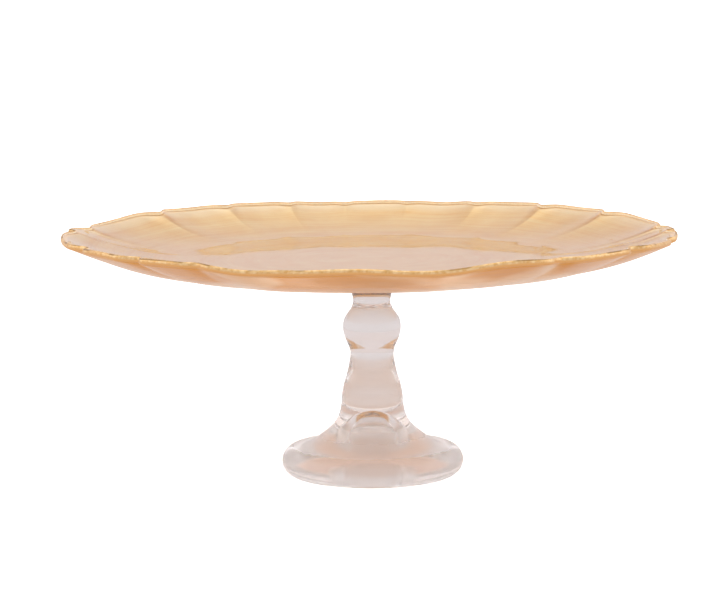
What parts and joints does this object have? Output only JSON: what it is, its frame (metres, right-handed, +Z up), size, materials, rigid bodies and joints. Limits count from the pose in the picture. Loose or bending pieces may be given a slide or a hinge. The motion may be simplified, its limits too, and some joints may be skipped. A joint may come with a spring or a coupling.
{
  "type": "footed cake stand",
  "caption": "Round footed cake stand with a scalloped clear-glass plate, gilded underneath and along its rim, on a turned clear-glass pedestal.",
  "frame": {"origin": "on the surface that the foot rests on, under the axis of the stem", "axes": "+Z up along the stem, -Y towards the front, +X to the right seen from the front"},
  "size_m": [0.3113, 0.3118, 0.1267],
  "materials": {
    "plate_glass": "clear slumped glass, glossy, faintly wavy",
    "leaf_gold": "warm gold film with fine concentric streaks, seen through the glass",
    "lacquer": "thin clear gloss lacquer over the gold, amber with it",
    "rim_gold": "bright burnished gold, a little uneven and worn at the notches",
    "adhesive": "clear cured adhesive",
    "pedestal_glass": "clear pressed glass, glossy, softly rounded"
  },
  "bodies": {
    "root": {"glass_plate": "plate_glass", "gold_leaf": "leaf_gold", "seal_lacquer": "lacquer", "rim_gilding": "rim_gold", "bond_film": "adhesive", "pedestal": "pedestal_glass"}
  },
  "joints": []
}
